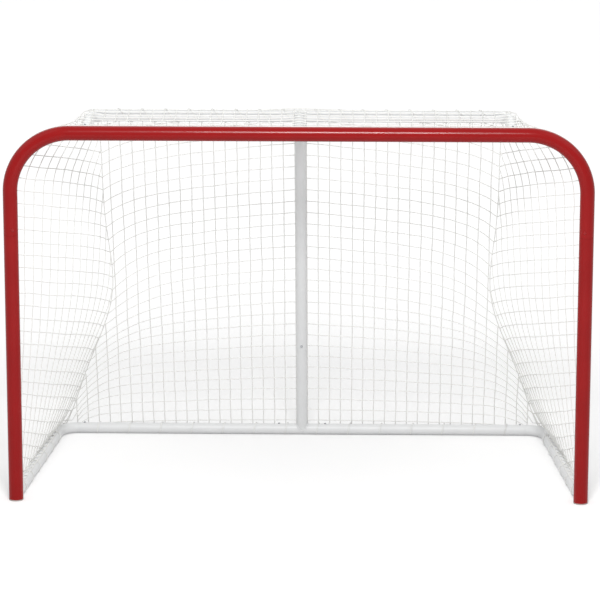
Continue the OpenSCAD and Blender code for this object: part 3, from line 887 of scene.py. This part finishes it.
top_rows = [net_front_y + TOP_MESH * (i + 1) for i in range(TOP_ROWS)]
top_lines, top_knots = [], []
for x in upright_xs:
    stops = with_halves([net_front_y, *top_rows, SHELF_Y])
    stops = [y for y in stops if top_half(y) > abs(x)]
    if abs(x) <= top_half(net_front_y) - TOP_SIDE_GAP and len(stops) > 1:
        top_lines.append([top_twine(x, y) for y in stops])
        top_knots += [top_twine(x, y) for y in stops if y in top_rows]
for y in [*top_rows, SHELF_Y]:
    top_lines.append([top_twine(x, y) for x in row_stops(top_half(y))])
front_line = [Vector((-x, net_front_y, top_z)) for x in np.linspace(arm_start.x, -arm_start.x, 61)]
panel("top_net_twine", top_lines, top_knots, [(front_line, EDGE_R)], "top_net")

# --- Lacing ---
# Soft white cord ties the net's edge to the white tubes: round the shelf's bar in one long
# spiral, and in single turns over the base tubes, which stand on the ice.
LACE_R = 0.0012
SHELF_PITCH, SHELF_REACH = 0.078, (0.035, 0.62)
SPIRAL_R, SPIRAL_SWAY = WHITE_R + 0.0045, 0.0006
TURN_ANGLES, TURN_R = (-30, 230), (WHITE_R + 0.0042, WHITE_R + 0.0016)
TURN_STEPS, ICE_GAP = 24, 0.0002
BAR_START, BAR_PITCH, BAR_SPAN, BAR_LEAN = 0.06, BACK_MESH * 0.95, (0.03, 0.8), 0.018
RAIL_START, RAIL_PITCH, RAIL_TURNS, RAIL_LEAN = 0.08, 0.118, 6, 0.02
cord = braid("soft_braided_lacing_cord", "ECECE9", "E0E0DD", pitch_mm=4.5, depth=0.6)


def laced(name, lines, node):
    """Cord along these lines, set on the frame in a node's place."""
    lacing = strands(name, lines, LACE_R, 8)
    lacing.data.materials.clear()
    lacing.data.materials.append(cord)
    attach(lacing, "frame")
    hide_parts(node)


def spiral(x0, x1, pitch):
    """Cord wound round the shelf's rear bar and over the net's twine that lies on it."""
    count = int(abs(x1 - x0) / pitch * TURN_STEPS)
    line = []
    for i in range(count + 1):
        x = x0 + (x1 - x0) * i / count
        a = 2 * math.pi * (x - x0) / pitch
        r = SPIRAL_R + SPIRAL_SWAY * math.sin(a)
        line.append(Vector((x, SHELF_Y + r * math.cos(a), BAR_Z + r * math.sin(a))))
    return line


inner, outer = SHELF_REACH
windings = [spiral(-outer, -inner, SHELF_PITCH), spiral(inner, outer, SHELF_PITCH)]
laced("shelf_lacing_cord", windings, "shelf_lacing")


def turn_over(centre, way, lean):
    """One turn over a base tube from the net's edge outside to the ice inside."""
    out = Vector((way.y, -way.x, 0))
    line = []
    for i in range(TURN_STEPS + 1):
        part = i / TURN_STEPS
        a, r = math.radians(between(TURN_ANGLES, part)), between(TURN_R, part)
        p = centre + out * (r * math.cos(a)) + Vector((0, 0, r * math.sin(a)))
        p += way * (lean * (part - 0.5))
        if p.z > LACE_R + ICE_GAP:
            line.append(p)
    return line


bar_turns = []
for k in range(2, 2 * upright_count, 3):
    x = -base_corner_x + BAR_START + k * BAR_PITCH
    if BAR_SPAN[0] < abs(x) < BAR_SPAN[1]:
        at = Vector((x, REAR_Y, RAIL_Z))
        bar_turns.append(turn_over(at, Vector((-1, 0, 0)), BAR_LEAN))
laced("rear_lacing_cord", bar_turns, "rear_lacing")
rail_turns = []
for k in range(RAIL_TURNS):
    at = Vector((-HALF_W, FRONT_Y)) + rail_way * (RAIL_START + RAIL_PITCH * k)
    at = Vector((at.x, at.y, RAIL_Z))
    rail_turns.append(turn_over(at, -rail_way.to_3d(), RAIL_LEAN))
laced("rail_lacing_cord", rail_turns + mirrored(rail_turns), "rail_lacing")

# --- Net clips ---
# Clips of moulded red plastic sit on the backs of the posts and the crossbar. Those on the posts
# hold the net's edge cord in a small eye. They are matt from the mould, with a soft grain.
CLIP_T, CLIP_W, CLIP_GAP = 0.0016, 0.012, 0.0002
CLIPS_ON_POST, POST_SEAM_Z = 6, 0.905
CLIPS_ON_BAR, BAR_REACH = 12, 0.66
POST_WRAP, BAR_WRAP, EYE_SWEEP = (-60, 60), (-66, 46), 300
clip_plastic = coated_steel(
    "moulded_red_clip_plastic",
    "A0171A",
    "941518",
    grain_mm=0.9,
    peel=0.3,
    roughness=0.42,
    shine=0.3,
)


def curl(mesh, centre, along, start, inner_r, sweep):
    """A band with its inner radius at inner_r, swept round an axis from the direction start."""
    side = along.normalized() * (CLIP_W / 2)
    corners = [
        mesh.verts.new(centre + start * r + side * way)
        for r, way in ((inner_r, -1), (inner_r, 1), (inner_r + CLIP_T, 1), (inner_r + CLIP_T, -1))
    ]
    face = mesh.faces.new(corners)
    bmesh.ops.spin(
        mesh,
        geom=[*corners, *face.edges, face],
        cent=centre,
        axis=along,
        angle=math.radians(sweep),
        steps=max(6, int(abs(sweep) / 10)),
        use_duplicate=False,
    )


def clips(name, node, places):
    """Joins clips. Each place is a point on the tube's axis, that axis, the way to its back, the
    turns from there to the band's two ends, and the middle of the eye or None."""
    mesh = bmesh.new()
    for centre, along, back, wrap, eye in places:
        start = Matrix.Rotation(math.radians(wrap[0]), 3, along) @ back
        curl(mesh, centre, along, start, RED_R + CLIP_GAP, wrap[1] - wrap[0])
        if eye:
            curl(mesh, eye, along, (centre - eye).normalized(), EDGE_R + CLIP_GAP, EYE_SWEEP)
    bmesh.ops.recalc_face_normals(mesh, faces=mesh.faces)
    piece = solid(name, mesh)
    piece.data.materials.append(clip_plastic)
    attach(piece, "frame")
    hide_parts(node)


UP, RIGHT, BACK = Vector((0, 0, 1)), Vector((1, 0, 0)), Vector((0, 1, 0))
post_places = []
for side in (-1, 1):
    for i in range(CLIPS_ON_POST):
        z = 2 * RAIL_Z + (i + 0.5) * (POST_SEAM_Z - 2 * RAIL_Z) / CLIPS_ON_POST
        eye = Vector((side * (HALF_W + OFF), net_front_y, z))
        post_places.append((Vector((side * HALF_W, FRONT_Y, z)), UP, BACK, POST_WRAP, eye))
clips("post_clips_moulded", "post_clips", post_places)
bar_places = [
    (Vector((x, FRONT_Y, BAR_Z)), RIGHT, BACK, BAR_WRAP, None)
    for x in np.linspace(-BAR_REACH, BAR_REACH, CLIPS_ON_BAR)
]
clips("crossbar_clips_moulded", "crossbar_clips", bar_places)

# --- Floor, studio and lights ---
# A plain white sweep. The lamps are wide and soft; the floor looks white to the camera and in
# reflections, and still takes the goal's shadow.
SWEEP_HALF = 30
BOX_SIZE, BOX_WATTS = 1.1, 180
BOX_PLACE, BOX_AIM = Vector((0.1, -4.2, 4.25)), Vector((0, -0.4, 0.65))
SUN_SPREAD, SUN_STRENGTH = 50, 0.3
floor_mesh = bmesh.new()
bmesh.ops.create_grid(floor_mesh, x_segments=1, y_segments=1, size=SWEEP_HALF)
floor = solid("floor", floor_mesh)
floor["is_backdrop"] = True
bpy.context.scene.view_settings.view_transform = "Standard"
sweep = finish_called("white_studio_sweep")
seen = add(sweep, "LightPath")
seen_or_mirrored = add(
    sweep,
    "Math",
    {0: (seen, "Is Camera Ray"), 1: (seen, "Is Glossy Ray")},
    operation="MAXIMUM",
)
seen_at_all = add(
    sweep,
    "Math",
    {0: (seen_or_mirrored, 0), 1: (seen, "Is Transmission Ray")},
    operation="MAXIMUM",
)
floor_place = add(sweep, "TexCoord")
away = add(sweep, "VectorMath", {0: (floor_place, "Object")}, operation="LENGTH")
fall_off = add(sweep, "MapRange", {"Value": (away, "Value"), 1: 0.2, 2: 3.5, 3: 0.17, 4: 0.45})
lift = add(sweep, "Math", {0: (seen_at_all, 0), 1: (fall_off, 0)}, operation="MULTIPLY")
glow = add(sweep, "Emission", {"Color": (1, 1, 1, 1), "Strength": (lift, 0)})
matt = add(sweep, "BsdfDiffuse", {"Color": linear("E6E6E6")})
both = add(sweep, "AddShader", {0: (glow, 0), 1: (matt, 0)})
add(sweep, "OutputMaterial", {"Surface": (both, 0)})
floor.data.materials.append(sweep)

world = bpy.data.worlds.new("studio")
bpy.context.scene.world = world
world.use_nodes = True
world.node_tree.nodes.clear()
path = add(world, "LightPath")
sharp_rays = add(
    world,
    "Math",
    {0: (path, "Is Camera Ray"), 1: (path, "Is Glossy Ray")},
    operation="MAXIMUM",
)
white_rays = add(
    world,
    "Math",
    {0: (sharp_rays, 0), 1: (path, "Is Transmission Ray")},
    operation="MAXIMUM",
)
room = add(world, "Background", {"Color": (1, 1, 1, 1), "Strength": 0.5})
white = add(world, "Background", {"Color": (1, 1, 1, 1), "Strength": 1.0})
mixed = add(world, "MixShader", {0: (white_rays, 0), 1: (room, 0), 2: (white, 0)})
add(world, "OutputWorld", {"Surface": (mixed, 0)})


def soft_sun(name, azimuth, elevation):
    """A wide lamp far off: azimuth 0 is straight in front of the mouth, 90 is to its right."""
    lamp = bpy.data.lights.new(name, "SUN")
    lamp.energy = SUN_STRENGTH
    lamp.angle = math.radians(SUN_SPREAD)
    holder = placed(name, lamp)
    a, e = math.radians(azimuth), math.radians(elevation)
    way = Vector((math.sin(a) * math.cos(e), -math.cos(a) * math.cos(e), math.sin(e)))
    holder.rotation_mode = "QUATERNION"
    holder.rotation_quaternion = way.to_track_quat("Z", "Y")


box = bpy.data.lights.new("front_softbox", "AREA")
box.shape = "SQUARE"
box.size = BOX_SIZE
box.energy = BOX_WATTS
box_holder = placed("front_softbox", box)
box_holder.location = BOX_PLACE
box_holder.rotation_mode = "QUATERNION"
box_holder.rotation_quaternion = (BOX_PLACE - BOX_AIM).to_track_quat("Z", "Y")
soft_sun("left_softbox", azimuth=-70, elevation=48)
soft_sun("right_softbox", azimuth=70, elevation=48)
soft_sun("back_softbox", azimuth=180, elevation=30)

low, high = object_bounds()
{"cad": [list(cad_low), list(cad_high)], "visual": [list(low), list(high)]}
